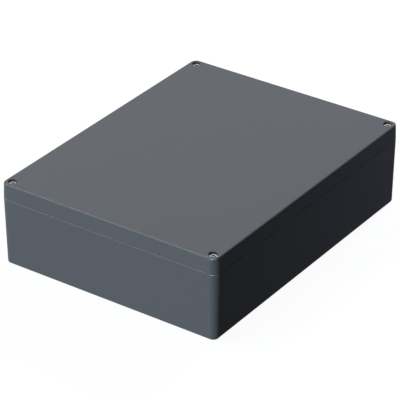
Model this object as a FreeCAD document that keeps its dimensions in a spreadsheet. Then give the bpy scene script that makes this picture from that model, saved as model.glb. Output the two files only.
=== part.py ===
import FreeCAD, Part
import math
import os
from types import SimpleNamespace

import Sketcher
from FreeCAD import Placement, Rotation, Vector

# Driving dimensions, in millimetres and degrees. Each is one cell of the document's sheet.
DIMENSIONS = [
    # outer form
    ("box_width", 310, "over the short side, at the seam"),
    ("box_length", 400, "over the long side, at the seam"),
    ("base_height", 89, "underside to seam"),
    ("lid_height", 21, "seam to top"),
    ("corner_radius", 9, "upright corners, at the seam"),
    ("base_draft", 1, "lean of the base's outer and inner walls"),
    ("lid_draft", 2, "lean of the lid's outer and inner walls"),
    ("foot_radius", 2.6, "outer edge of the underside"),
    ("base_seam_radius", 1.2, "outer edge of the base at the seam"),
    ("lid_seam_bevel", 0.5, "outer edge of the lid at the seam"),
    ("lid_top_radius", 2, "outer edge of the top"),
    # walls and cavity
    ("wall", 5, "side walls"),
    ("floor", 4.5, "base floor"),
    ("lid_plate", 4, "top of the lid"),
    ("cavity_radius", 5, "upright corners of the cavity"),
    ("block_radius", 6, "upright edge of a corner block"),
    ("floor_radius", 3, "foot of the cavity's walls"),
    ("lid_inner_radius", 2, "root of the lid's inner walls"),
    # seal
    ("tongue_width", 2, "sealing tongue on the base"),
    ("tongue_height", 2.5, "tongue above the seam"),
    ("groove_clearance", 0.7, "tongue to the groove's sides"),
    ("groove_rib", 2, "inner side of the lid's groove"),
    ("gasket_height", 3, "gasket when pressed"),
    ("gasket_side_gap", 0.15, "gasket to the groove's sides"),
    # corner screws
    ("screw_inset", 10.5, "lid screw's axis to both outer faces"),
    ("thread_diameter", 6, "lid screw"),
    ("running_clearance", 0.05, "radial, thread in its hole"),
    ("screw_hole_depth", 20, "tapped hole below the seam"),
    ("thread_reach", 8.8, "thread below the seam"),
    ("thread_rise", 1.2, "thread above the seam"),
    ("shank_diameter", 4.7, "reduced shank of the lid screw"),
    ("head_diameter", 10, "lid screw's head"),
    ("head_height", 3.9, "lid screw's head"),
    ("head_bevel", 0.8, "upper edge of the head"),
    ("head_recess", 2, "top of the head below the lid's top"),
    ("counterbore_clearance", 0.5, "radial, round the head"),
    ("counterbore_bevel", 0.6, "rim of the counterbore"),
    ("web_thickness", 3.2, "lid metal under the head"),
    ("thread_passage", 0.3, "radial, thread through the web"),
    ("slot_width", 1.4, "slot of a lid screw"),
    ("slot_depth", 1.3, "slot of a lid screw"),
    ("cross_span", 5.4, "cross recess, tip to tip"),
    ("cross_width", 1.5, "cross recess, at the top"),
    ("cross_depth", 2.4, "cross recess"),
    ("cross_draft", 9, "lean of the cross recess's sides"),
    # retainers
    ("retainer_diameter", 9.2, "retaining washer"),
    ("retainer_thickness", 1.5, "retaining washer"),
    ("retainer_clearance", 0.1, "radial, washer on the shank"),
    ("retainer_pocket_clearance", 0.4, "radial, washer in the lid"),
    # wall mounting
    ("mounting_inset_x", 25, "mounting hole to the long outer face"),
    ("mounting_inset_y", 10, "mounting hole to the short outer face"),
    ("mounting_hole", 7, "diameter, for an M6 screw"),
    ("mounting_foot", 8, "metal under the mounting screw's head"),
    ("well_diameter", 12.4, "well over the mounting hole"),
    ("well_land", 5, "well to the corner block's face"),
    # mounting plate bosses
    ("boss_inset_x", 25, "boss to the long outer face"),
    ("boss_inset_y", 40, "end bosses to the short outer face"),
    ("boss_diameter", 12, "at the top"),
    ("boss_height", 8, "above the floor"),
    ("boss_draft", 3, "lean of a boss's side"),
    ("boss_hole", 5, "diameter, tapped M5"),
    ("boss_hole_depth", 9, "full diameter"),
    # earth terminals
    ("earth_inset", 25, "terminal to the long outer face"),
    ("base_earth_offset", 80, "base terminal to the middle of the long side"),
    ("lid_earth_offset", 110, "lid terminal to the middle of the long side"),
    ("earth_boss_diameter", 14, "at the seat"),
    ("earth_boss_height", 8, "above the floor or under the lid plate"),
    ("earth_thread", 5, "earth screw"),
    ("earth_reach", 8, "earth screw below its seat"),
    ("earth_head_diameter", 9, "earth screw"),
    ("earth_head_height", 3.2, "earth screw"),
    ("earth_head_bevel", 0.8, "upper edge of the earth screw's head"),
    ("earth_bore_clearance", 0.2, "radial, washer and clamp on the screw"),
    ("earth_slot_width", 1.2, "slot of the earth screw"),
    ("earth_slot_depth", 1.6, "slot of the earth screw"),
    ("spring_washer_diameter", 8.7, "outside"),
    ("spring_washer_thickness", 1.2, "pressed flat"),
    ("spring_washer_slit", 14, "slit of the spring washer"),
    ("clamp_length", 12, "saddle clamp, leg to leg"),
    ("clamp_width", 9, "saddle clamp"),
    ("clamp_height", 3, "saddle clamp, with its legs"),
    ("clamp_sheet", 1.2, "saddle clamp"),
    ("clamp_bend_radius", 0.5, "inside of a bend of the saddle clamp"),
]

CORNERS = [("front_left", -1, -1), ("front_right", 1, -1), ("back_left", -1, 1), ("back_right", 1, 1)]


class Dim:
    """A length or an angle: its number, and the words over the sheet's cells that give it."""

    def __init__(self, number, words):
        self.number = number
        self.words = words

    def __add__(self, other):
        return join(self, "+", other)

    def __sub__(self, other):
        return join(self, "-", other)

    def __mul__(self, other):
        return join(self, "*", other)

    def __truediv__(self, other):
        return join(self, "/", other)

    def __neg__(self):
        return join(0, "-", self)


def as_dim(value):
    """The value as a Dim."""
    return value if isinstance(value, Dim) else Dim(value, str(value))


def join(first, sign, second):
    """The sum, difference, product or ratio of two values, as a Dim."""
    first, second = as_dim(first), as_dim(second)
    numbers = {
        "+": lambda a, b: a + b,
        "-": lambda a, b: a - b,
        "*": lambda a, b: a * b,
        "/": lambda a, b: a / b,
    }
    return Dim(numbers[sign](first.number, second.number), f"({first.words} {sign} {second.words})")


def bind(thing, name, value):
    """Sets a property of an object to a value and ties it to the sheet."""
    value = as_dim(value)
    setattr(thing, name, value.number)
    thing.setExpression(name, value.words)


def bind_placement(thing, name, x, y, z, rotation=Rotation()):
    """Sets a placement and ties its three distances to the sheet."""
    x, y, z = as_dim(x), as_dim(y), as_dim(z)
    setattr(thing, name, Placement(Vector(x.number, y.number, z.number), rotation))
    for letter, value in (("x", x), ("y", y), ("z", z)):
        thing.setExpression(f"{name}.Base.{letter}", value.words)


# The document and its sheet
doc = FreeCAD.newDocument("die_cast_box")
sheet = doc.addObject("Spreadsheet::Sheet", "Sizes")
for row, (alias, number, meaning) in enumerate(DIMENSIONS, start=1):
    sheet.set(f"A{row}", alias)
    sheet.set(f"B{row}", str(number))
    sheet.set(f"C{row}", meaning)
    sheet.setAlias(f"B{row}", alias)
doc.recompute()
size = SimpleNamespace(**{alias: Dim(number, f"Sizes.{alias}") for alias, number, _ in DIMENSIONS})


# Sketching
def new_body(name):
    """A body labelled with its node's name."""
    body = doc.addObject("PartDesign::Body", name)
    body.Label = name
    return body


def new_sketch(body, name, height=0, plane="XY_Plane"):
    """A sketch on one of the body's own planes, moved along the plane's normal."""
    sketch = body.newObject("Sketcher::SketchObject", name)
    support = next(item for item in body.Origin.OriginFeatures if item.Role == plane)
    sketch.AttachmentSupport = (support, [""])
    sketch.MapMode = "FlatFace"
    bind_placement(sketch, "AttachmentOffset", 0, 0, height)
    return sketch


def constrain(sketch, value, *constraint):
    """Adds a constraint whose size is tied to the sheet."""
    value = as_dim(value)
    kind, *where = constraint
    index = sketch.addConstraint(Sketcher.Constraint(kind, *where, value.number))
    sketch.setExpression(f"Constraints[{index}]", value.words)


def place_line(sketch, line, upright, value):
    """Holds an upright line at an x, or a level line at a y."""
    if as_dim(value).number == 0:
        axis = -2 if upright else -1
        sketch.addConstraint(Sketcher.Constraint("PointOnObject", line, 1, axis))
    else:
        constrain(sketch, value, "DistanceX" if upright else "DistanceY", -1, 1, line, 1)


def draw_outline(sketch, corners):
    """Draws a closed outline of upright and level lines with rounded or sharp corners.

    corners are (x, y, radius) in order, with radius 0 for a sharp corner.
    """
    corners = [tuple(as_dim(value) for value in corner) for corner in corners]
    count = len(corners)
    first = sketch.GeometryCount
    points = [Vector(x.number, y.number, 0) for x, y, _ in corners]
    ways = [(points[(i + 1) % count] - points[i]).normalize() for i in range(count)]
    radii = [radius.number for _, _, radius in corners]
    for i in range(count):
        after = (i + 1) % count
        start, end = points[i] + ways[i] * radii[i], points[after] - ways[i] * radii[after]
        sketch.addGeometry(Part.LineSegment(start, end))
    for i, (x, y, _) in enumerate(corners):
        upright = abs(ways[i].y) > abs(ways[i].x)
        sketch.addConstraint(Sketcher.Constraint("Vertical" if upright else "Horizontal", first + i))
        place_line(sketch, first + i, upright, x if upright else y)
    for i, (_, _, radius) in enumerate(corners):
        before, line = first + (i - 1) % count, first + i
        if radius.number == 0:
            sketch.addConstraint(Sketcher.Constraint("Coincident", before, 2, line, 1))
            continue
        way_in, way_out = ways[i - 1], ways[i]
        left_turn = way_in.cross(way_out).z > 0
        centre = points[i] + (way_out - way_in) * radius.number
        from_way, to_way = (way_out * -1, way_in) if left_turn else (way_in, way_out * -1)
        from_angle, to_angle = math.atan2(from_way.y, from_way.x), math.atan2(to_way.y, to_way.x)
        if to_angle < from_angle:
            to_angle += 2 * math.pi
        circle = Part.Circle(centre, Vector(0, 0, 1), radius.number)
        arc = sketch.addGeometry(Part.ArcOfCircle(circle, from_angle, to_angle))
        arc_start, arc_end = (1, 2) if left_turn else (2, 1)
        sketch.addConstraint(Sketcher.Constraint("Tangent", before, 2, arc, arc_start))
        sketch.addConstraint(Sketcher.Constraint("Tangent", arc, arc_end, line, 1))
        constrain(sketch, radius, "Radius", arc)


def draw_circle(sketch, x, y, diameter):
    """Draws a circle held by its centre and its radius."""
    x, y, radius = as_dim(x), as_dim(y), as_dim(diameter) / 2
    circle = Part.Circle(Vector(x.number, y.number, 0), Vector(0, 0, 1), radius.number)
    index = sketch.addGeometry(circle)
    constrain(sketch, radius, "Radius", index)
    if x.number == 0 and y.number == 0:
        sketch.addConstraint(Sketcher.Constraint("Coincident", index, 3, -1, 1))
        return
    for value, kind, axis in ((x, "DistanceX", -2), (y, "DistanceY", -1)):
        if value.number == 0:
            sketch.addConstraint(Sketcher.Constraint("PointOnObject", index, 3, axis))
        else:
            constrain(sketch, value, kind, -1, 1, index, 3)


def box_corners(half_x, half_y, radius=0):
    """The four corners of a rectangle about the origin."""
    return [
        (half_x, -half_y, radius),
        (half_x, half_y, radius),
        (-half_x, half_y, radius),
        (-half_x, -half_y, radius),
    ]


# Features
def extrude(body, kind, name, sketch, length, reverse=False, taper=0):
    """A Pad or a Pocket of the sketch, tapering by an angle that is negative where it narrows."""
    feature = body.newObject(f"PartDesign::{kind}", name)
    feature.Profile = sketch
    feature.Reversed = reverse
    bind(feature, "Length", length)
    if as_dim(taper).number:
        bind(feature, "TaperAngle", taper)
    doc.recompute()
    return feature


def revolve(body, name, sketch, angle=360):
    """The sketch turned about its own upright axis."""
    feature = body.newObject("PartDesign::Revolution", name)
    feature.Profile = sketch
    feature.ReferenceAxis = (sketch, ["V_Axis"])
    bind(feature, "Angle", angle)
    doc.recompute()
    return feature


def round_edges(body, name, radius, chosen):
    """Rounds the edges of the body's tip for which chosen(edge) is true."""
    base = body.Tip
    names = [f"Edge{i}" for i, edge in enumerate(base.Shape.Edges, start=1) if chosen(edge)]
    feature = body.newObject("PartDesign::Fillet", name)
    feature.Base = (base, names)
    bind(feature, "Radius", radius)
    doc.recompute()
    return feature


def bevel_edges(body, name, bevel, chosen):
    """Bevels the edges of the body's tip for which chosen(edge) is true."""
    base = body.Tip
    names = [f"Edge{i}" for i, edge in enumerate(base.Shape.Edges, start=1) if chosen(edge)]
    feature = body.newObject("PartDesign::Chamfer", name)
    feature.Base = (base, names)
    bind(feature, "Size", bevel)
    doc.recompute()
    return feature


def drill(body, name, sketch, diameter, depth=None, reverse=False, bore=None, bore_depth=None):
    """Drills the sketch's circles: through when depth is None, with a wider bore over them if given."""
    feature = body.newObject("PartDesign::Hole", name)
    feature.Profile = sketch
    doc.recompute()
    bind(feature, "Diameter", diameter)
    feature.Reversed = reverse
    if depth is None:
        feature.DepthType = "ThroughAll"
    else:
        feature.DepthType = "Dimension"
        bind(feature, "Depth", depth)
        feature.DrillPoint = "Flat"
    if bore is not None:
        feature.HoleCutType = "Counterbore"
        feature.HoleCutCustomValues = True
        bind(feature, "HoleCutDiameter", bore)
        bind(feature, "HoleCutDepth", bore_depth)
    doc.recompute()
    return feature


def mirror_to_corners(body, name, originals):
    """Repeats features made at one corner at the other three."""
    roles = {item.Role: item for item in body.Origin.OriginFeatures}
    feature = body.newObject("PartDesign::MultiTransform", name)
    feature.Originals = originals
    mirrors = []
    for side, plane in (("across", "YZ_Plane"), ("along", "XZ_Plane")):
        mirror = body.newObject("PartDesign::Mirrored", f"{name}_{side}")
        mirror.MirrorPlane = (roles[plane], [""])
        mirrors.append(mirror)
    feature.Transformations = mirrors
    body.Tip = feature
    doc.recompute()
    return feature


def level_at(edge, height):
    """Whether an edge lies flat at a height."""
    box = edge.BoundBox
    near = 1e-4
    return abs(box.ZMin - as_dim(height).number) < near and abs(box.ZMax - as_dim(height).number) < near


def round_at(edge, height, diameter):
    """Whether an edge is a circle of a diameter, flat at a height."""
    near = 1e-4
    return (
        level_at(edge, height)
        and isinstance(edge.Curve, Part.Circle)
        and abs(edge.Curve.Radius * 2 - as_dim(diameter).number) < near
    )


# Places that several pieces share
seam = size.base_height
top = size.base_height + size.lid_height
half_width, half_length = size.box_width / 2, size.box_length / 2
screw_x, screw_y = half_width - size.screw_inset, half_length - size.screw_inset
mounting_x, mounting_y = half_width - size.mounting_inset_x, half_length - size.mounting_inset_y
boss_x, boss_y = half_width - size.boss_inset_x, half_length - size.boss_inset_y
earth_x = half_width - size.earth_inset
head_seat = top - size.head_recess - size.head_height
tongue_top = seam + size.tongue_height
groove_top = tongue_top + size.gasket_height


def cavity_corners(inset):
    """The sealed space in plan, which steps in round the four corner blocks.

    inset is measured inwards from the base's cavity wall at the seam.
    """
    side_x, end_y = half_width - size.wall - inset, half_length - size.wall - inset
    clear_of_well = size.well_diameter / 2 + size.well_land + inset
    block_x, block_y = mounting_x - clear_of_well, mounting_y - clear_of_well
    inner, outer = size.cavity_radius - inset, size.block_radius + inset
    return [
        (side_x, -block_y, inner),
        (side_x, block_y, inner),
        (block_x, block_y, outer),
        (block_x, end_y, inner),
        (-block_x, end_y, inner),
        (-block_x, block_y, outer),
        (-side_x, block_y, inner),
        (-side_x, -block_y, inner),
        (-block_x, -block_y, outer),
        (-block_x, -end_y, inner),
        (block_x, -end_y, inner),
        (block_x, -block_y, outer),
    ]


# Base
def make_base():
    """The lower casting."""
    body = new_body("base")
    outline = new_sketch(body, "base_outline", seam)
    draw_outline(outline, box_corners(half_width, half_length, size.corner_radius))
    extrude(body, "Pad", "base_block", outline, size.base_height, reverse=True, taper=-size.base_draft)
    round_edges(body, "base_foot_edge", size.foot_radius, lambda edge: level_at(edge, 0))
    round_edges(body, "base_seam_edge", size.base_seam_radius, lambda edge: level_at(edge, seam))

    cavity = new_sketch(body, "base_cavity_outline", seam)
    draw_outline(cavity, cavity_corners(0))
    extrude(body, "Pocket", "base_cavity", cavity, seam - size.floor, taper=-size.base_draft)
    round_edges(body, "base_floor_edge", size.floor_radius, lambda edge: level_at(edge, size.floor))

    tongue = new_sketch(body, "tongue_outline", seam)
    draw_outline(tongue, cavity_corners(0))
    draw_outline(tongue, cavity_corners(-size.tongue_width))
    extrude(body, "Pad", "tongue", tongue, size.tongue_height)

    screw_hole = new_sketch(body, "screw_hole_centre", seam)
    draw_circle(screw_hole, screw_x, screw_y, size.thread_diameter)
    screw_hole_cut = drill(
        body,
        "screw_hole",
        screw_hole,
        size.thread_diameter + size.running_clearance * 2,
        size.screw_hole_depth,
    )
    mounting = new_sketch(body, "mounting_hole_centre", seam)
    draw_circle(mounting, mounting_x, mounting_y, size.mounting_hole)
    mounting_cut = drill(
        body,
        "mounting_hole",
        mounting,
        size.mounting_hole,
        bore=size.well_diameter,
        bore_depth=seam - size.mounting_foot,
    )
    mirror_to_corners(body, "corner_holes", [screw_hole_cut, mounting_cut])

    boss_top = size.floor + size.boss_height
    bosses = new_sketch(body, "boss_outlines", boss_top)
    boss_holes = new_sketch(body, "boss_hole_centres", boss_top)
    for x in (-boss_x, boss_x):
        for y in (-boss_y, 0, boss_y):
            draw_circle(bosses, x, y, size.boss_diameter)
            draw_circle(boss_holes, x, y, size.boss_hole)
    extrude(body, "Pad", "bosses", bosses, size.boss_height, reverse=True, taper=size.boss_draft)
    drill(body, "boss_holes", boss_holes, size.boss_hole, size.boss_hole_depth)

    seat = size.floor + size.earth_boss_height
    earth = new_sketch(body, "base_earth_outline", seat)
    draw_circle(earth, earth_x, size.base_earth_offset, size.earth_boss_diameter)
    extrude(
        body, "Pad", "base_earth_boss", earth, size.earth_boss_height, reverse=True, taper=size.boss_draft
    )
    earth_hole = new_sketch(body, "base_earth_centre", seat)
    draw_circle(earth_hole, earth_x, size.base_earth_offset, size.earth_thread)
    drill(
        body,
        "base_earth_hole",
        earth_hole,
        size.earth_thread + size.running_clearance * 2,
        size.earth_reach + size.running_clearance,
    )
    return body


# Lid
def make_lid():
    """The upper casting."""
    body = new_body("lid")
    outline = new_sketch(body, "lid_outline", seam)
    draw_outline(outline, box_corners(half_width, half_length, size.corner_radius))
    extrude(body, "Pad", "lid_block", outline, size.lid_height, taper=-size.lid_draft)
    round_edges(body, "lid_top_edge", size.lid_top_radius, lambda edge: level_at(edge, top))
    bevel_edges(body, "lid_seam_edge", size.lid_seam_bevel, lambda edge: level_at(edge, seam))

    rib_inset = size.groove_clearance + size.groove_rib
    underside = top - size.lid_plate
    cavity = new_sketch(body, "lid_cavity_outline", seam)
    draw_outline(cavity, cavity_corners(rib_inset))
    extrude(body, "Pocket", "lid_cavity", cavity, underside - seam, reverse=True, taper=-size.lid_draft)
    round_edges(body, "lid_inner_edge", size.lid_inner_radius, lambda edge: level_at(edge, underside))

    groove = new_sketch(body, "groove_outline", seam)
    draw_outline(groove, cavity_corners(size.groove_clearance))
    draw_outline(groove, cavity_corners(-size.tongue_width - size.groove_clearance))
    extrude(body, "Pocket", "groove", groove, groove_top - seam, reverse=True)

    counterbore = size.head_diameter + size.counterbore_clearance * 2
    screw_hole = new_sketch(body, "counterbore_centre", top)
    draw_circle(screw_hole, screw_x, screw_y, size.thread_diameter)
    screw_cut = drill(
        body,
        "counterbore",
        screw_hole,
        size.thread_diameter + size.thread_passage * 2,
        bore=counterbore,
        bore_depth=top - head_seat,
    )
    pocket = new_sketch(body, "retainer_pocket_outline", seam)
    pocket_diameter = size.retainer_diameter + size.retainer_pocket_clearance * 2
    draw_circle(pocket, screw_x, screw_y, pocket_diameter)
    pocket_cut = extrude(
        body, "Pocket", "retainer_pocket", pocket, head_seat - size.web_thickness - seam, reverse=True
    )
    mirror_to_corners(body, "corner_pockets", [screw_cut, pocket_cut])
    bevel_edges(
        body, "counterbore_rim", size.counterbore_bevel, lambda edge: round_at(edge, top, counterbore)
    )

    seat = underside - size.earth_boss_height
    earth = new_sketch(body, "lid_earth_outline", seat)
    draw_circle(earth, earth_x, size.lid_earth_offset, size.earth_boss_diameter)
    extrude(body, "Pad", "lid_earth_boss", earth, size.earth_boss_height, taper=size.boss_draft)
    earth_hole = new_sketch(body, "lid_earth_centre", seat)
    draw_circle(earth_hole, earth_x, size.lid_earth_offset, size.earth_thread)
    drill(
        body,
        "lid_earth_hole",
        earth_hole,
        size.earth_thread + size.running_clearance * 2,
        size.earth_reach + size.running_clearance,
        reverse=True,
    )
    return body


# Gasket
def make_gasket():
    """The sealing ring, pressed between the tongue and the bottom of the groove."""
    body = new_body("lid_gasket")
    ring = new_sketch(body, "gasket_outline", tongue_top)
    draw_outline(ring, cavity_corners(size.groove_clearance - size.gasket_side_gap))
    draw_outline(
        ring, cavity_corners(size.gasket_side_gap - size.tongue_width - size.groove_clearance)
    )
    extrude(body, "Pad", "gasket_ring", ring, size.gasket_height)
    return body


# Lid screws and their retainers
def make_lid_screw(place, side_x, side_y):
    """One captive lid screw, drawn with the underside of its head at height 0."""
    body = new_body(f"lid_screw_{place}")
    length = head_seat - seam
    thread_radius, shank_radius = size.thread_diameter / 2, size.shank_diameter / 2
    head_radius = size.head_diameter / 2
    profile = new_sketch(body, f"lid_screw_{place}_profile", plane="XZ_Plane")
    draw_outline(
        profile,
        [
            (0, -length - size.thread_reach, 0),
            (thread_radius, -length - size.thread_reach, 0),
            (thread_radius, size.thread_rise - length, 0),
            (shank_radius, size.thread_rise - length, 0),
            (shank_radius, 0, 0),
            (head_radius, 0, 0),
            (head_radius, size.head_height, 0),
            (0, size.head_height, 0),
        ],
    )
    revolve(body, f"lid_screw_{place}_turned", profile)
    bevel_edges(
        body, f"lid_screw_{place}_brow", size.head_bevel, lambda edge: level_at(edge, size.head_height)
    )
    slot = new_sketch(body, f"lid_screw_{place}_slot_outline", size.head_height)
    draw_outline(slot, box_corners(size.head_diameter, size.slot_width / 2))
    extrude(body, "Pocket", f"lid_screw_{place}_slot", slot, size.slot_depth)
    cross = new_sketch(body, f"lid_screw_{place}_cross_outline", size.head_height)
    span, width = size.cross_span / 2, size.cross_width / 2
    draw_outline(
        cross,
        [
            (span, -width, 0),
            (span, width, 0),
            (width, width, 0),
            (width, span, 0),
            (-width, span, 0),
            (-width, width, 0),
            (-span, width, 0),
            (-span, -width, 0),
            (-width, -width, 0),
            (-width, -span, 0),
            (width, -span, 0),
            (width, -width, 0),
        ],
    )
    extrude(
        body, "Pocket", f"lid_screw_{place}_cross", cross, size.cross_depth, taper=-size.cross_draft
    )
    bind_placement(body, "Placement", screw_x * side_x, screw_y * side_y, head_seat)
    return body


def make_retainer(place, side_x, side_y):
    """One retaining washer, resting on the shoulder of its screw's thread."""
    body = new_body(f"screw_retainer_{place}")
    ring = new_sketch(body, f"screw_retainer_{place}_outline")
    draw_circle(ring, 0, 0, size.retainer_diameter)
    draw_circle(ring, 0, 0, size.shank_diameter + size.retainer_clearance * 2)
    extrude(body, "Pad", f"screw_retainer_{place}_ring", ring, size.retainer_thickness)
    bind_placement(body, "Placement", screw_x * side_x, screw_y * side_y, seam + size.thread_rise)
    return body


# Earth terminals
def make_earth_terminal(owner, y, z, rotation):
    """The clamp, spring washer and screw of one earth terminal, stacked upwards from its seat."""
    bore = size.earth_thread + size.earth_bore_clearance * 2
    clamp_body = new_body(f"{owner}_earth_clamp")
    profile = new_sketch(clamp_body, f"{owner}_earth_clamp_profile", plane="XZ_Plane")
    half, sheet_metal = size.clamp_length / 2, size.clamp_sheet
    bend_outside = size.clamp_bend_radius + sheet_metal
    draw_outline(
        profile,
        [
            (half, 0, 0),
            (half, size.clamp_height, bend_outside),
            (-half, size.clamp_height, bend_outside),
            (-half, 0, 0),
            (sheet_metal - half, 0, 0),
            (sheet_metal - half, size.clamp_height - sheet_metal, size.clamp_bend_radius),
            (half - sheet_metal, size.clamp_height - sheet_metal, size.clamp_bend_radius),
            (half - sheet_metal, 0, 0),
        ],
    )
    bent = extrude(clamp_body, "Pad", f"{owner}_earth_clamp_bent", profile, size.clamp_width)
    bent.SideType = "Symmetric"
    doc.recompute()
    hole = new_sketch(clamp_body, f"{owner}_earth_clamp_hole", size.clamp_height)
    draw_circle(hole, 0, 0, bore)
    extrude(clamp_body, "Pocket", f"{owner}_earth_clamp_bore", hole, sheet_metal)
    bind_placement(clamp_body, "Placement", earth_x, y, z, rotation)

    away = -1 if rotation.Angle else 1
    washer_body = new_body(f"{owner}_earth_spring_washer")
    washer = new_sketch(washer_body, f"{owner}_earth_spring_washer_profile", plane="XZ_Plane")
    inner, outer = bore / 2, size.spring_washer_diameter / 2
    thickness = size.spring_washer_thickness
    draw_outline(washer, [(inner, 0, 0), (outer, 0, 0), (outer, thickness, 0), (inner, thickness, 0)])
    open_angle = as_dim(360) - size.spring_washer_slit
    revolve(washer_body, f"{owner}_earth_spring_washer_turned", washer, open_angle)
    washer_z = z + size.clamp_height * away
    bind_placement(washer_body, "Placement", earth_x, y, washer_z, rotation)

    screw_body = new_body(f"{owner}_earth_screw")
    turned = new_sketch(screw_body, f"{owner}_earth_screw_profile", plane="XZ_Plane")
    shaft, head = size.earth_thread / 2, size.earth_head_diameter / 2
    below = size.earth_reach + size.clamp_height + thickness
    draw_outline(
        turned,
        [
            (0, -below, 0),
            (shaft, -below, 0),
            (shaft, 0, 0),
            (head, 0, 0),
            (head, size.earth_head_height, 0),
            (0, size.earth_head_height, 0),
        ],
    )
    revolve(screw_body, f"{owner}_earth_screw_turned", turned)
    bevel_edges(
        screw_body,
        f"{owner}_earth_screw_brow",
        size.earth_head_bevel,
        lambda edge: level_at(edge, size.earth_head_height),
    )
    slot = new_sketch(screw_body, f"{owner}_earth_screw_slot_outline", size.earth_head_height)
    draw_outline(slot, box_corners(size.earth_head_diameter, size.earth_slot_width / 2))
    extrude(screw_body, "Pocket", f"{owner}_earth_screw_slot", slot, size.earth_slot_depth)
    bind_placement(screw_body, "Placement", earth_x, y, washer_z + thickness * away, rotation)
    return [clamp_body, washer_body, screw_body]


def make_all():
    """Every piece of the box, in the order in which it is put together."""
    base_seat = size.floor + size.earth_boss_height
    lid_seat = top - size.lid_plate - size.earth_boss_height
    upside_down = Rotation(Vector(1, 0, 0), 180)
    pieces = [make_base(), make_lid(), make_gasket()]
    pieces += [make_lid_screw(*corner) for corner in CORNERS]
    pieces += [make_retainer(*corner) for corner in CORNERS]
    pieces += make_earth_terminal("base", size.base_earth_offset, base_seat, Rotation())
    pieces += make_earth_terminal("lid", size.lid_earth_offset, lid_seat, upside_down)
    return pieces


def check(pieces):
    """Stops the script if a feature failed or a piece isn't one valid solid."""
    for item in doc.Objects:
        if "Invalid" in item.State or "Error" in item.State:
            raise RuntimeError(f"{item.Label} failed: {item.State}")
    for piece in pieces:
        shape = piece.Shape
        if shape.isNull() or not shape.isValid() or len(shape.Solids) != 1:
            raise RuntimeError(f"{piece.Label} isn't one valid solid")


pieces = make_all()
doc.recompute()
check(pieces)
os.makedirs("parts", exist_ok=True)
for piece in pieces:
    piece.Shape.exportStep(f"parts/{piece.Label}.step")
    box = piece.Shape.BoundBox
    print(f"{piece.Label}: {piece.Shape.Volume / 1000:.2f} cm3, z {box.ZMin:.2f} to {box.ZMax:.2f}")
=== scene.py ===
"""Looks of a die cast aluminium box: coated castings, steel screws, nylon retainers and a cellular seal."""

import logging
import math
from dataclasses import dataclass, field
from enum import Enum
from typing import Iterable, Optional, Sequence, Union

import bmesh
import bpy
from mathutils import Matrix, Vector


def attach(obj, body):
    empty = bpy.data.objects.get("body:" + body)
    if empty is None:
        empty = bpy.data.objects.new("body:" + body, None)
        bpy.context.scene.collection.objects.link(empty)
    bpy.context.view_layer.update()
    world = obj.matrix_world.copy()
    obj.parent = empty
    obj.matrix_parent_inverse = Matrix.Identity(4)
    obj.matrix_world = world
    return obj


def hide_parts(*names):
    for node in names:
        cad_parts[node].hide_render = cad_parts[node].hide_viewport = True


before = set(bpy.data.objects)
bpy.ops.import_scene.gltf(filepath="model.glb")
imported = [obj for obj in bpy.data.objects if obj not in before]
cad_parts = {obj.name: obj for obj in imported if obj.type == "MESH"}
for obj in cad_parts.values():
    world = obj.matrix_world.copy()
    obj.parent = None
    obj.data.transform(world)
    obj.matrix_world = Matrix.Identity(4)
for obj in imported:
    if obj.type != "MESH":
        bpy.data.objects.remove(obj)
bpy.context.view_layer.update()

LOG = logging.getLogger("die_cast_box")
MM = 0.001
FULL_TURN = 2 * math.pi

Point = tuple[float, float, float]
Flat = tuple[float, float]
Ring = list[bmesh.types.BMVert]
Tree = bpy.types.NodeTree
Socket = bpy.types.NodeSocket

# Distance of the lid screws off the middle of the box, in millimetres.
SCREW_AXIS = (144.5, 189.5)
# Edges flatter than this are shaded smooth, in degrees.
SMOOTH_BELOW = 32.0
# Corners nearer than this are one, in millimetres, and faces flatter than this are one, in degrees.
WELD_DISTANCE = 0.001
WELD_ANGLE = 0.5


class Slot(Enum):
    """Names of the record's material slots for the script's own pieces; the script does not use them."""

    SEAL = "seal_rubber"
    STAINLESS = "stainless"
    NYLON = "nylon"
    PLATED = "plated_steel"


class Corner(Enum):
    """A corner of the box, with the sides of x and y that it stands on."""

    FRONT_LEFT = ("front_left", -1, -1)
    FRONT_RIGHT = ("front_right", 1, -1)
    BACK_LEFT = ("back_left", -1, 1)
    BACK_RIGHT = ("back_right", 1, 1)

    @property
    def place(self) -> str:
        """Words that end the names of the corner's pieces."""
        return self.value[0]

    def at(self, x: float, y: float, z: float) -> Vector:
        """Place in this corner, in metres, from distances in millimetres off the middle of the box."""
        return Vector((self.value[1] * x, self.value[2] * y, z)) * MM


class Owner(Enum):
    """The casting that carries an earth terminal."""

    BASE = "base"
    LID = "lid"

    @property
    def earth_seat(self) -> Point:
        """Middle of the machined seat under the casting's earth terminal, in millimetres."""
        return {Owner.BASE: (130.0, 80.0, 12.5), Owner.LID: (130.0, 110.0, 98.0)}[self]


def linear(hex_colour: str, gain: float = 1.0) -> tuple[float, float, float, float]:
    """Turns an sRGB hex colour to linear light.

    Args:
        hex_colour: colour such as "#6A6D72".
        gain: factor on the linear values.

    Returns:
        Red, green, blue and an alpha of 1.
    """
    channels = []
    for start in (1, 3, 5):
        value = int(hex_colour[start : start + 2], 16) / 255
        value = value / 12.92 if value <= 0.04045 else ((value + 0.055) / 1.055) ** 2.4
        channels.append(value * gain)
    return (channels[0], channels[1], channels[2], 1.0)


def per_mm(feature: float) -> float:
    """Texture scale at which one feature of a pattern is this many millimetres wide."""
    return 1 / (feature * MM)


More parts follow.
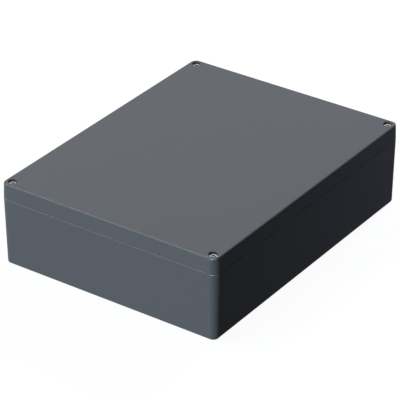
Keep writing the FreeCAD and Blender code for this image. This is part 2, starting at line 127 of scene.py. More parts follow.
def add_node(
    tree: Tree,
    kind: str,
    settings: Optional[dict[str, object]] = None,
    inputs: Optional[dict[Union[str, int], object]] = None,
) -> bpy.types.Node:
    """Adds a node with its settings and links.

    Args:
        tree: node tree that the node goes into.
        kind: the node's type.
        settings: properties of the node by name.
        inputs: a value or an output socket for each named or numbered input.

    Returns:
        The new node.
    """
    node = tree.nodes.new(kind)
    for name, value in (settings or {}).items():
        setattr(node, name, value)
    for key, value in (inputs or {}).items():
        if isinstance(value, Socket):
            tree.links.new(value, node.inputs[key])
        else:
            node.inputs[key].default_value = value
    return node


# Finishes


@dataclass(frozen=True)
class Finish:
    """A surface finish: its name, colour and gloss. Pattern sizes are in millimetres."""

    name: str
    colour: str
    roughness: float
    metallic: float = 0.0

    def build(self) -> bpy.types.Material:
        """Makes the material and dresses its shader.

        Returns:
            The finished material.
        """
        material = bpy.data.materials.new(self.name)
        material.use_nodes = True
        tree = material.node_tree
        shader = tree.nodes["Principled BSDF"]
        shader.inputs["Base Color"].default_value = linear(self.colour)
        shader.inputs["Roughness"].default_value = self.roughness
        shader.inputs["Metallic"].default_value = self.metallic
        self.dress(tree, shader)
        return material

    def dress(self, tree: Tree, shader: bpy.types.Node) -> None:
        """Adds the finish's own patterns to the shader.

        Args:
            tree: the material's node tree.
            shader: its principled shader.
        """

    def tints(self, spread: float) -> tuple[tuple, tuple]:
        """The finish's colour, darker and lighter by a share of itself."""
        return linear(self.colour, 1 - spread), linear(self.colour, 1 + spread)


@dataclass(frozen=True)
class BareSpot:
    """A round place on a casting that is masked from the coat or machined after it, in millimetres. One
    that is mirrored lies the same in all four corners."""

    x: float
    y: float
    radius: float
    low: float
    high: float
    mirrored: bool = False


@dataclass(frozen=True)
class PowderCoat(Finish):
    """Polyester powder coat on cast aluminium: sprayed dry and baked, so it flows out to a soft, slightly
    pebbled skin that hides the metal, too matt for its flat faces to show the floor. Handling has rubbed
    the rims of the short ends smooth, most of all at the corners by which it is gripped, so they catch the
    light. Tapped holes and earth seats are bare."""

    # Far below the usual 0.5: the photograph's dark side shows nothing of the white floor before it.
    specular: float = 0.0125
    # How much polish the rims and the gripped corners have, and how glossy it is. Its index is above that of
    # the baked resin, about 1.5, so that a rim only a few pixels wide catches the light as in the photograph.
    rim_polish: float = 0.0
    corner_polish: float = 1.0
    polish_roughness: float = 0.22
    polish_index: float = 2.05
    # Orange peel, the grain of the powder on it, drawn about three times too coarse so that it shows, and
    # faint clouds of colour.
    peel: float = 2.6
    peel_depth: float = 0.010
    peel_detail: float = 1.0
    grain: float = 0.7
    grain_depth: float = 0.012
    grain_detail: float = 2.0
    cloud: float = 55.0
    cloud_detail: float = 2.0
    cloud_share: float = 0.5
    tint_spread: float = 0.02
    gloss_spread: float = 0.05
    # The polished rims are known by where they face. Each pair gives the parts of their unit normal between
    # which the polish sets in: upwards from the sides, upwards from the top, along the box and across it.
    off_side: Flat = (0.10, 0.35)
    off_top: Flat = (0.995, 0.93)
    on_end: Flat = (0.30, 0.60)
    on_corner: Flat = (0.05, 0.22)
    # No polish round the screws, whose pockets have rims too.
    pocket_radius: float = 7.5
    bare_colour: str = "#C6C8CA"
    bare_roughness: float = 0.33
    spots: tuple[BareSpot, ...] = ()

    def dress(self, tree: Tree, shader: bpy.types.Node) -> None:
        """Adds the pebbled skin, the faint clouds, the polished rims and the bare places.

        Args:
            tree: the material's node tree.
            shader: its principled shader.
        """
        shader.inputs["Specular IOR Level"].default_value = self.specular
        shader.inputs["Coat Roughness"].default_value = self.polish_roughness
        shader.inputs["Coat IOR"].default_value = self.polish_index
        place = add_node(tree, "ShaderNodeTexCoord").outputs["Object"]
        cloud, peel, grain = (
            add_node(
                tree,
                "ShaderNodeTexNoise",
                inputs={"Vector": place, "Scale": per_mm(feature), "Detail": detail},
            ).outputs["Fac"]
            for feature, detail in (
                (self.cloud, self.cloud_detail),
                (self.peel, self.peel_detail),
                (self.grain, self.grain_detail),
            )
        )
        dark, light = self.tints(self.tint_spread)
        mottle = add_node(
            tree, "ShaderNodeMix", inputs={"Factor": self.cloud_share, 2: grain, 3: cloud}
        ).outputs[0]
        tint = add_node(
            tree, "ShaderNodeMix", {"data_type": "RGBA"}, {"Factor": mottle, 6: dark, 7: light}
        ).outputs[2]
        gloss = add_node(
            tree,
            "ShaderNodeMapRange",
            inputs={
                "Value": peel,
                "To Min": self.roughness - self.gloss_spread,
                "To Max": self.roughness + self.gloss_spread,
            },
        ).outputs[0]
        pebbled = add_node(
            tree, "ShaderNodeBump", inputs={"Height": peel, "Distance": self.peel_depth * MM}
        ).outputs[0]
        skin = add_node(
            tree,
            "ShaderNodeBump",
            inputs={"Height": grain, "Distance": self.grain_depth * MM, "Normal": pebbled},
        ).outputs[0]
        level = add_node(
            tree, "ShaderNodeVectorMath", {"operation": "MULTIPLY"}, {0: place, 1: (1.0, 1.0, 0.0)}
        ).outputs[0]
        folded = add_node(tree, "ShaderNodeVectorMath", {"operation": "ABSOLUTE"}, {0: level}).outputs[0]
        bare = self.bare_mask(tree, place, level, folded)
        tint = add_node(
            tree,
            "ShaderNodeMix",
            {"data_type": "RGBA"},
            {"Factor": bare, 6: tint, 7: linear(self.bare_colour)},
        ).outputs[2]
        gloss = add_node(
            tree, "ShaderNodeMix", inputs={"Factor": bare, 2: gloss, 3: self.bare_roughness}
        ).outputs[0]
        tree.links.new(tint, shader.inputs["Base Color"])
        tree.links.new(gloss, shader.inputs["Roughness"])
        tree.links.new(self.polish(tree, folded), shader.inputs["Coat Weight"])
        tree.links.new(bare, shader.inputs["Metallic"])
        tree.links.new(skin, shader.inputs["Normal"])

    def polish(self, tree: Tree, folded: Socket) -> Socket:
        """Marks the upper rims of the two short ends, which hands rub smooth where they lift the box.

        Args:
            tree: the material's node tree.
            folded: the surface's place on the casting seen from above, folded into one corner, in metres.

        Returns:
            The share of polish, which is 0 on the flat faces and round the screws.
        """
        normal = add_node(tree, "ShaderNodeTexCoord").outputs["Normal"]
        facing = add_node(tree, "ShaderNodeSeparateXYZ", inputs={0: normal}).outputs
        endwards = add_node(tree, "ShaderNodeMath", {"operation": "ABSOLUTE"}, {0: facing["Y"]}).outputs[0]
        limits = ((facing["Z"], self.off_side), (facing["Z"], self.off_top), (endwards, self.on_end))
        pocket = tuple(size * MM for size in (*SCREW_AXIS, 0.0))
        off = add_node(
            tree, "ShaderNodeVectorMath", {"operation": "DISTANCE"}, {0: folded, 1: pocket}
        ).outputs["Value"]
        mask = add_node(
            tree, "ShaderNodeMath", {"operation": "GREATER_THAN"}, {0: off, 1: self.pocket_radius * MM}
        ).outputs[0]
        for way, (start, end) in limits:
            share = add_node(
                tree,
                "ShaderNodeMapRange",
                {"interpolation_type": "SMOOTHSTEP"},
                {"Value": way, "From Min": start, "From Max": end},
            ).outputs[0]
            mask = add_node(tree, "ShaderNodeMath", {"operation": "MULTIPLY"}, {0: share, 1: mask}).outputs[0]
        grip = add_node(
            tree,
            "ShaderNodeMapRange",
            inputs={
                "Value": facing["X"],
                "From Min": self.on_corner[0],
                "From Max": self.on_corner[1],
                "To Min": self.rim_polish,
                "To Max": self.corner_polish,
            },
        ).outputs[0]
        return add_node(tree, "ShaderNodeMath", {"operation": "MULTIPLY"}, {0: mask, 1: grip}).outputs[0]

    def bare_mask(self, tree: Tree, place: Socket, level: Socket, folded: Socket) -> Socket:
        """Marks the bare places.

        Args:
            tree: the material's node tree.
            place: the surface's place on the casting, in metres.
            level: that place seen from above.
            folded: the same, folded into one corner.

        Returns:
            A value that is 1 on bare metal and 0 on the coat.
        """
        height = add_node(tree, "ShaderNodeSeparateXYZ", inputs={0: place}).outputs["Z"]
        mask: Union[float, Socket] = 0.0
        for spot in self.spots:
            middle, half = (spot.low + spot.high) / 2 * MM, (spot.high - spot.low) / 2 * MM
            off = add_node(
                tree,
                "ShaderNodeVectorMath",
                {"operation": "DISTANCE"},
                {0: folded if spot.mirrored else level, 1: (spot.x * MM, spot.y * MM, 0.0)},
            ).outputs["Value"]
            near = add_node(
                tree, "ShaderNodeMath", {"operation": "LESS_THAN"}, {0: off, 1: spot.radius * MM}
            ).outputs[0]
            between = add_node(
                tree, "ShaderNodeMath", {"operation": "COMPARE"}, {0: height, 1: middle, 2: half}
            ).outputs[0]
            mask = add_node(
                tree,
                "ShaderNodeMath",
                {"operation": "MULTIPLY_ADD", "use_clamp": True},
                {0: near, 1: between, 2: mask},
            ).outputs[0]
        return mask


@dataclass(frozen=True)
class TurnedStainless(Finish):
    """Austenitic stainless steel, cold headed and faced on a lathe: bright, faintly warm grey metal whose
    fine tool rings draw the highlight out round the screw's axis. Painted shade darkens the slot and cross."""

    # Width of a ring and of the groove beside it: several times the real tool's feed, so that they show.
    ring: float = 0.22
    ring_depth: float = 0.004
    ring_waver: float = 0.6
    gloss_spread: float = 0.07
    # Painted shade: it lies this far round the axis, and between these heights over the underside of the
    # head.
    slot_shade_colour: str = "#3A3A34"
    slot_shade_reach: float = 4.4
    slot_shade_heights: Flat = (1.4, 3.7)

    def dress(self, tree: Tree, shader: bpy.types.Node) -> None:
        """Adds the tool rings and the painted shade in the slot and cross.

        Args:
            tree: the material's node tree.
            shader: its principled shader.
        """
        place = add_node(tree, "ShaderNodeTexCoord").outputs["Object"]
        rings = add_node(
            tree,
            "ShaderNodeTexWave",
            {"wave_type": "RINGS", "rings_direction": "Z"},
            {"Vector": place, "Scale": per_mm(self.ring) / FULL_TURN, "Distortion": self.ring_waver},
        ).outputs["Fac"]
        gloss = add_node(
            tree,
            "ShaderNodeMapRange",
            inputs={
                "Value": rings,
                "To Min": self.roughness - self.gloss_spread,
                "To Max": self.roughness + self.gloss_spread,
            },
        ).outputs[0]
        faced = add_node(
            tree, "ShaderNodeBump", inputs={"Height": rings, "Distance": self.ring_depth * MM}
        ).outputs[0]
        # Painted shade: the slot and cross take a dark colour in place of the steel's.
        tint = add_node(
            tree,
            "ShaderNodeMix",
            {"data_type": "RGBA"},
            {"Factor": self.slot_shade_mask(tree, place), 6: linear(self.colour), 7: linear(self.slot_shade_colour)},
        ).outputs[2]
        tree.links.new(tint, shader.inputs["Base Color"])
        tree.links.new(gloss, shader.inputs["Roughness"])
        tree.links.new(faced, shader.inputs["Normal"])

    def slot_shade_mask(self, tree: Tree, place: Socket) -> Socket:
        """Marks the slot and the cross of a screw's head, which take the painted shade.

        Args:
            tree: the material's node tree.
            place: the surface's place on the screw, in metres.

        Returns:
            A value that is 1 below the head's face and 0 elsewhere.
        """
        low, high = (limit * MM for limit in self.slot_shade_heights)
        middle, half = (low + high) / 2, (high - low) / 2
        height = add_node(tree, "ShaderNodeSeparateXYZ", inputs={0: place}).outputs["Z"]
        level = add_node(
            tree, "ShaderNodeVectorMath", {"operation": "MULTIPLY"}, {0: place, 1: (1.0, 1.0, 0.0)}
        ).outputs[0]
        radius = add_node(tree, "ShaderNodeVectorMath", {"operation": "LENGTH"}, {0: level}).outputs["Value"]
        inside = add_node(
            tree, "ShaderNodeMath", {"operation": "LESS_THAN"}, {0: radius, 1: self.slot_shade_reach * MM}
        ).outputs[0]
        below = add_node(
            tree, "ShaderNodeMath", {"operation": "COMPARE"}, {0: height, 1: middle, 2: half}
        ).outputs[0]
        return add_node(tree, "ShaderNodeMath", {"operation": "MULTIPLY"}, {0: inside, 1: below}).outputs[0]


@dataclass(frozen=True)
class ZincPlate(Finish):
    """Steel, electroplated with zinc and passivated clear: a cool, slightly cloudy grey metal."""

    # Width of a cloudy spot, twice the real one, so that it shows.
    spangle: float = 1.4
    spangle_detail: float = 3.0
    tint_spread: float = 0.12
    gloss_spread: float = 0.10

    def dress(self, tree: Tree, shader: bpy.types.Node) -> None:
        """Adds the cloudy spots of the plating bath.

        Args:
            tree: the material's node tree.
            shader: its principled shader.
        """
        place = add_node(tree, "ShaderNodeTexCoord").outputs["Object"]
        spots = add_node(
            tree,
            "ShaderNodeTexNoise",
            inputs={"Vector": place, "Scale": per_mm(self.spangle), "Detail": self.spangle_detail},
        ).outputs["Fac"]
        dark, light = self.tints(self.tint_spread)
        tint = add_node(
            tree, "ShaderNodeMix", {"data_type": "RGBA"}, {"Factor": spots, 6: dark, 7: light}
        ).outputs[2]
        gloss = add_node(
            tree,
            "ShaderNodeMapRange",
            inputs={
                "Value": spots,
                "To Min": self.roughness - self.gloss_spread,
                "To Max": self.roughness + self.gloss_spread,
            },
        ).outputs[0]
        tree.links.new(tint, shader.inputs["Base Color"])
        tree.links.new(gloss, shader.inputs["Roughness"])


@dataclass(frozen=True)
class MouldedNylon(Finish):
    """Natural polyamide, injection moulded: milky, a little translucent, with a satin skin off the mould."""

    # How deep the light goes in, and the fine texture of the mould, drawn coarse enough to show.
    ior: float = 1.53
    milk_depth: float = 0.8
    milk_share: float = 0.35
    skin: float = 0.5
    skin_depth: float = 0.006
    tint_spread: float = 0.03

    def dress(self, tree: Tree, shader: bpy.types.Node) -> None:
        """Adds the milky depth and the satin skin.

        Args:
            tree: the material's node tree.
            shader: its principled shader.
        """
        shader.inputs["IOR"].default_value = self.ior
        shader.inputs["Subsurface Weight"].default_value = self.milk_share
        shader.inputs["Subsurface Scale"].default_value = self.milk_depth * MM
        place = add_node(tree, "ShaderNodeTexCoord").outputs["Object"]
        satin = add_node(
            tree, "ShaderNodeTexNoise", inputs={"Vector": place, "Scale": per_mm(self.skin)}
        ).outputs["Fac"]
        dark, light = self.tints(self.tint_spread)
        tint = add_node(
            tree, "ShaderNodeMix", {"data_type": "RGBA"}, {"Factor": satin, 6: dark, 7: light}
        ).outputs[2]
        tree.links.new(tint, shader.inputs["Base Color"])
        bump = add_node(
            tree, "ShaderNodeBump", inputs={"Height": satin, "Distance": self.skin_depth * MM}
        ).outputs[0]
        tree.links.new(bump, shader.inputs["Normal"])


@dataclass(frozen=True)
class CellularRubber(Finish):
    """Closed-cell chloroprene rubber, extruded and skinned: near black and matt, with tiny open cells."""

    # Width and depth of a cell, a little larger than real ones, so that they show.
    ior: float = 1.52
    cell: float = 0.35
    cell_depth: float = 0.05
    # How far the colour runs from the painted shade in the pits to the lighter skin between them, as a share.
    tint_spread: float = 0.25

    def dress(self, tree: Tree, shader: bpy.types.Node) -> None:
        """Adds the cells, as pits whose painted shade makes them darker than the skin.

        Args:
            tree: the material's node tree.
            shader: its principled shader.
        """
        shader.inputs["IOR"].default_value = self.ior
        place = add_node(tree, "ShaderNodeTexCoord").outputs["Object"]
        cells = add_node(
            tree, "ShaderNodeTexVoronoi", inputs={"Vector": place, "Scale": per_mm(self.cell)}
        ).outputs["Distance"]
        # Painted shade: the colour darkens towards the bottom of each pit, with its depth.
        dark, light = self.tints(self.tint_spread)
        tint = add_node(
            tree, "ShaderNodeMix", {"data_type": "RGBA"}, {"Factor": cells, 6: dark, 7: light}
        ).outputs[2]
        pits = add_node(
            tree, "ShaderNodeBump", inputs={"Height": cells, "Distance": self.cell_depth * MM}
        ).outputs[0]
        tree.links.new(tint, shader.inputs["Base Color"])
        tree.links.new(pits, shader.inputs["Normal"])


# Mesh tools


def object_from(name: str, shape: bmesh.types.BMesh, smooth: float = SMOOTH_BELOW) -> bpy.types.Object:
    """Makes a scene object of a shape whose edges flatter than an angle are shaded smooth.

    Args:
        name: the piece's name.
        shape: its mesh, which is freed.
        smooth: the angle in degrees.

    Returns:
        The object, linked to the scene.
    """
    bmesh.ops.recalc_face_normals(shape, faces=shape.faces)
    for face in shape.faces:
        face.smooth = True
    for edge in shape.edges:
        edge.smooth = len(edge.link_faces) == 2 and edge.calc_face_angle(0.0) < math.radians(smooth)
    mesh = bpy.data.meshes.new(name)
    shape.to_mesh(mesh)
    shape.free()
    piece = bpy.data.objects.new(name, mesh)
    bpy.context.scene.collection.objects.link(piece)
    return piece


def ring_of(shape: bmesh.types.BMesh, radii: Sequence[float], height: float) -> Ring:
    """Adds one closed ring of corners round the z axis.

    Args:
        shape: the mesh that it goes into.
        radii: its radius at each step round the axis.
        height: its height.

    Returns:
        The corners, in order.
    """
    ring = []
    for i, radius in enumerate(radii):
        angle = FULL_TURN * i / len(radii)
        place = Vector((radius * math.cos(angle), radius * math.sin(angle), height)) * MM
        ring.append(shape.verts.new(place))
    return ring


def stack_rings(shape: bmesh.types.BMesh, rings: Sequence[Ring], closed: bool = False) -> None:
    """Joins rings, in order, with faces.

    Args:
        shape: the mesh that the faces go into.
        rings: the rings.
        closed: joins the last ring to the first, where both ends would otherwise be filled.
    """
    above = [*rings[1:], rings[0]] if closed else rings[1:]
    for lower, upper in zip(rings, above):
        for i in range(len(lower)):
            j = (i + 1) % len(lower)
            shape.faces.new((lower[i], lower[j], upper[j], upper[i]))
    if not closed:
        shape.faces.new(rings[0])
        shape.faces.new(rings[-1])


def arc(centre: Flat, radius: float, start: float, end: float, steps: int) -> list[Flat]:
    """Points along an arc, with its angles in degrees."""
    angles = [math.radians(start + (end - start) * i / steps) for i in range(steps + 1)]
    return [(centre[0] + radius * math.cos(a), centre[1] + radius * math.sin(a)) for a in angles]


def washer_section(bore: float, radius: float, height: float) -> list[Flat]:
    """The four corners of a washer's section, from its bore round to its bore again."""
    return [(bore, 0.0), (radius, 0.0), (radius, height), (bore, height)]


def turn_solid(name: str, profile: Iterable[Flat], sides: int) -> bpy.types.Object:
    """Makes a turned piece.

    Args:
        name: the piece's name.
        profile: its outline as (radius, height), from one end of the axis to the other.
        sides: faces round the axis.

    Returns:
        The piece.
    """
    shape = bmesh.new()
    stack_rings(shape, [ring_of(shape, [radius] * sides, height) for radius, height in profile])
    return object_from(name, shape)


def prism(outline: Sequence[Flat], low: float, high: float, low_scale: float = 1.0) -> bmesh.types.BMesh:
    """Makes an upright prism, for cutting.

    Args:
        outline: its corners in plan.
        low: height of its foot.
        high: height of its top.
        low_scale: size of the foot as a share of the top's.

    Returns:
        The prism's mesh.
    """
    shape = bmesh.new()
    rings = [
        [shape.verts.new(Vector((x * scale, y * scale, z)) * MM) for x, y in outline]
        for z, scale in ((low, low_scale), (high, 1.0))
    ]
    stack_rings(shape, rings)
    return shape


def cut(piece: bpy.types.Object, tool_shape: bmesh.types.BMesh) -> None:
    """Takes a shape out of a piece.

    Args:
        piece: the piece, whose mesh changes.
        tool_shape: the shape, which is freed.
    """
    tool = object_from("cutter", tool_shape)
    modifier = piece.modifiers.new("cut", "BOOLEAN")
    modifier.object = tool
    modifier.solver = "EXACT"
    apply_modifiers(piece)
    bpy.data.objects.remove(tool)


def apply_modifiers(piece: bpy.types.Object) -> None:
    """Replaces a piece's mesh by what its modifiers make of it.

    Args:
        piece: the piece.
    """
    graph = bpy.context.evaluated_depsgraph_get()
    mesh = bpy.data.meshes.new_from_object(piece.evaluated_get(graph))
    mesh.name = piece.data.name
    piece.modifiers.clear()
    piece.data = mesh


def break_edges(piece: bpy.types.Object, width: float, rounds: int = 2, sharper_than: float = 35.0) -> None:
    """Rounds every edge of a piece that is sharper than an angle.

    Args:
        piece: the piece, whose mesh changes.
        width: width of the rounding in millimetres.
        rounds: faces across it.
        sharper_than: the angle in degrees.
    """
    bevel = piece.modifiers.new("edges", "BEVEL")
    bevel.width = width * MM
    bevel.segments = rounds
    bevel.limit_method = "ANGLE"
    bevel.angle_limit = math.radians(sharper_than)
    bevel.harden_normals = False
    apply_modifiers(piece)


def join(name: str, parts: Sequence[bpy.types.Object]) -> bpy.types.Object:
    """Makes one piece of several.

    Args:
        name: the new piece's name.
        parts: what it is made of, which is removed.

    Returns:
        The new piece.
    """
    shape = bmesh.new()
    for part in parts:
        mesh = part.data.copy()
        mesh.transform(part.matrix_basis)
        shape.from_mesh(mesh)
        bpy.data.meshes.remove(mesh)
        bpy.data.objects.remove(part)
    return object_from(name, shape)


def softened_copy(node: str, width: float, rounds: int) -> bpy.types.Object:
    """Copies a piece of the frame and rounds its edges.

    Args:
        node: the piece's name in the frame.
        width: width of the rounding in millimetres.
        rounds: faces across it.

    Returns:
        The copy, dressed in nothing yet.
    """
    shape = bmesh.new()
    shape.from_mesh(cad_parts[node].data)
    bmesh.ops.remove_doubles(shape, verts=shape.verts, dist=WELD_DISTANCE * MM)
    flat = math.radians(WELD_ANGLE)
    bmesh.ops.dissolve_limit(shape, angle_limit=flat, verts=shape.verts, edges=shape.edges, delimit=set())
    piece = object_from(f"{node}_shown", shape)
    break_edges(piece, width, rounds)
    return piece


def carry(piece: bpy.types.Object, node: str, body: str, material: bpy.types.Material) -> None:
    """Dresses a piece, lets it stand for its node and makes it ride on its body.

    Args:
        piece: the piece, in its place.
        node: the node that it stands for.
        body: the body that it moves with.
        material: its material.
    """
    piece.data.materials.clear()
    piece.data.materials.append(material)
    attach(piece, body)
    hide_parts(node)
    LOG.info("%s: %d faces, rides on %s", piece.name, len(piece.data.polygons), body)


# Sub-assemblies


@dataclass
class Castings:
    """The base and the lid, which keep the frame's own shapes. Sizes are in millimetres."""

    screw_bore: float = 3.1
    screw_bore_heights: Flat = (4.0, 88.9)
    boss_axes: tuple[Flat, ...] = ((130.0, 160.0), (130.0, 0.0))
    boss_bore: float = 2.52
    boss_bore_heights: Flat = (2.0, 12.4)
    earth_seat_radius: float = 7.02
    earth_seat_depth: float = 0.4
    colour: str = "#6A6D72"
    roughness: float = 0.5
    base_rim_polish: float = 0.32
    lid_rim_polish: float = 0.14

    def build(self) -> None:
        """Coats both castings."""
        bores = [BareSpot(*SCREW_AXIS, self.screw_bore, *self.screw_bore_heights, mirrored=True)]
        bores += [
            BareSpot(x, y, self.boss_bore, *self.boss_bore_heights, mirrored=True) for x, y in self.boss_axes
        ]
        for owner, rim_polish, holes in (
            (Owner.BASE, self.base_rim_polish, bores),
            (Owner.LID, self.lid_rim_polish, []),
        ):
            x, y, z = owner.earth_seat
            depth = self.earth_seat_depth
            seat = BareSpot(x, y, self.earth_seat_radius, z - depth, z + depth)
            coat = PowderCoat(
                name=f"grey_powder_coat_on_cast_aluminium_{owner.value}",
                colour=self.colour,
                roughness=self.roughness,
                rim_polish=rim_polish,
                spots=(seat, *holes),
            )
            self.coat(owner, coat.build())

    def coat(self, owner: Owner, material: bpy.types.Material) -> None:
        """Puts the coat on one casting.

        Args:
            owner: the casting.
            material: its coat.
        """
        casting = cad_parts[owner.value]
        for slot in casting.material_slots:
            slot.material = material
        LOG.info("%s: coated, %d faces", owner.value, len(casting.data.polygons))


@dataclass
class Fastener:
    """A turned and threaded screw with its head up and the underside of its head at height 0. The thread
    runs from thread_top down to the tip. Sizes are in millimetres."""

    head_radius: float
    head_height: float
    brow: float
    shank_radius: float
    thread_radius: float
    thread_pitch: float
    thread_top: float
    tip: float
    tip_bevel: float
    slot_width: float
    slot_depth: float
    cross_span: float = 0.0
    cross_width: float = 0.0
    cross_depth: float = 0.0
    cross_foot: float = 0.6
    edge_break: float = 0.09
    # The discs that close the head below and above, as shares of the shank's radius and of the head's.
    foot_disc: float = 0.5
    face_disc: float = 0.2
    brow_steps: int = 6
    head_sides: int = 72
    # The thread's depth is a share of its pitch. Its crest and root are flat, and its flanks slope between.
    thread_depth: float = 0.613
    crest_flat: float = 0.18
    flank_slope: float = 1.45
    # Edges of the thread flatter than this are shaded smooth, in degrees.
    thread_smooth: float = 50.0
    sides: int = 48
    steps_in_pitch: int = 10

    def build(self, name: str) -> bpy.types.Object:
        """Makes the whole screw.

        Args:
            name: the piece's name.

        Returns:
            The screw, at the origin.
        """
        return join(name, [self.head(), self.shaft()])

    def head(self) -> bpy.types.Object:
        """Makes the head with a rounded brow, its slot and, where it has one, its cross recess.

        Returns:
            The head.
        """
        brow_centre = (self.head_radius - self.brow, self.head_height - self.brow)
        profile = [(self.shank_radius * self.foot_disc, 0.0), (self.head_radius, 0.0)]
        profile += arc(brow_centre, self.brow, 0, 90, self.brow_steps)
        profile.append((self.head_radius * self.face_disc, self.head_height))
        head = turn_solid("head", profile, self.head_sides)
        reach, half = self.head_radius * 2, self.slot_width / 2
        slot = [(-reach, -half), (reach, -half), (reach, half), (-reach, half)]
        cut(head, prism(slot, self.head_height - self.slot_depth, self.head_height + self.slot_depth))
        if self.cross_depth:
            span, width = self.cross_span / 2, self.cross_width / 2
            quarter = [(span, -width), (span, width), (width, width)]
            cross = [
                (x * math.cos(a) - y * math.sin(a), x * math.sin(a) + y * math.cos(a))
                for a in (0, math.pi / 2, math.pi, math.pi * 3 / 2)
                for x, y in quarter
            ]
            cut(head, prism(cross, self.head_height - self.cross_depth, self.head_height, self.cross_foot))
        break_edges(head, self.edge_break)
        return head

    def shaft(self) -> bpy.types.Object:
        """Makes the shank and the thread, which is a true helix.

        Returns:
            The shaft, whose upper end is inside the head.
        """
        shape = bmesh.new()
        rings = []
        step = self.thread_pitch / self.steps_in_pitch
        count = round((self.thread_top - self.tip) / step)
        for i in range(count + 1):
            height = self.tip + (self.thread_top - self.tip) * i / count
            limit = self.thread_radius - max(0.0, self.tip_bevel - (height - self.tip))
            rings.append(ring_of(shape, [min(limit, r) for r in self.thread_radii(height)], height))
        inside_head = (self.head_height - max(self.slot_depth, self.cross_depth)) / 2
        if self.thread_top < 0:
            rings.append(ring_of(shape, [self.shank_radius] * self.sides, self.thread_top))
        rings.append(ring_of(shape, [self.shank_radius] * self.sides, inside_head))
        stack_rings(shape, rings)
        return object_from("shaft", shape, self.thread_smooth)

    def thread_radii(self, height: float) -> list[float]:
        """Works out the thread's section at one height.

        Args:
            height: the height, negative below the head.

        Returns:
            Its radius at each step round the axis.
        """
        depth = self.thread_depth * self.thread_pitch
        radii = []
        for i in range(self.sides):
            turn = (height / self.thread_pitch - i / self.sides) % 1.0
            from_crest = abs(turn * 2 - 1)
            share = min(1.0, max(0.0, from_crest * self.flank_slope - self.crest_flat))
            radii.append(self.thread_radius - depth * share)
        return radii


@dataclass
class LidScrews:
    """The four captive lid screws and the nylon washers that keep them with the lid. Sizes are in
    millimetres, and seat and retainer_foot are heights over the box's underside."""

    seat: float = 104.1
    retainer_foot: float = 90.2
    retainer_bore: float = 2.45
    retainer_radius: float = 4.6
    retainer_height: float = 1.5
    retainer_edge: float = 0.25
    retainer_rounds: int = 3
    retainer_sides: int = 56
    screw: Fastener = field(
        default_factory=lambda: Fastener(
            head_radius=5.0,
            head_height=3.9,
            brow=1.1,
            shank_radius=2.35,
            thread_radius=3.0,
            thread_pitch=1.0,
            thread_top=-13.9,
            tip=-23.9,
            tip_bevel=0.8,
            slot_width=1.4,
            slot_depth=1.3,
            cross_span=5.4,
            cross_width=1.5,
            cross_depth=2.4,
        )
    )
    steel: TurnedStainless = TurnedStainless("turned_stainless_steel", "#C0C1BE", 0.25, metallic=1.0)
    nylon: MouldedNylon = MouldedNylon("natural_moulded_nylon", "#E4DFD0", 0.42)

    def build(self) -> None:
        """Makes every screw and retainer."""
        steel, nylon = self.steel.build(), self.nylon.build()
        pattern = self.screw.build("screw_pattern")
        for corner in Corner:
            piece = bpy.data.objects.new(f"captive_screw_{corner.place}", pattern.data.copy())
            bpy.context.scene.collection.objects.link(piece)
            piece.location = corner.at(*SCREW_AXIS, self.seat)
            carry(piece, f"lid_screw_{corner.place}", f"screw_{corner.place}", steel)
            ring = self.retainer(corner)
            carry(ring, f"screw_retainer_{corner.place}", f"retainer_{corner.place}", nylon)
        bpy.data.objects.remove(pattern)

    def retainer(self, corner: Corner) -> bpy.types.Object:
        """Makes one retaining washer with moulded edges.

        Args:
            corner: where it goes.

        Returns:
            The washer, in its place.
        """
        shape = bmesh.new()
        section = washer_section(self.retainer_bore, self.retainer_radius, self.retainer_height)
        rings = [ring_of(shape, [radius] * self.retainer_sides, height) for radius, height in section]
        stack_rings(shape, rings, closed=True)
        piece = object_from(f"nylon_retainer_{corner.place}", shape)
        break_edges(piece, self.retainer_edge, self.retainer_rounds)
        piece.location = corner.at(*SCREW_AXIS, self.retainer_foot)
        return piece


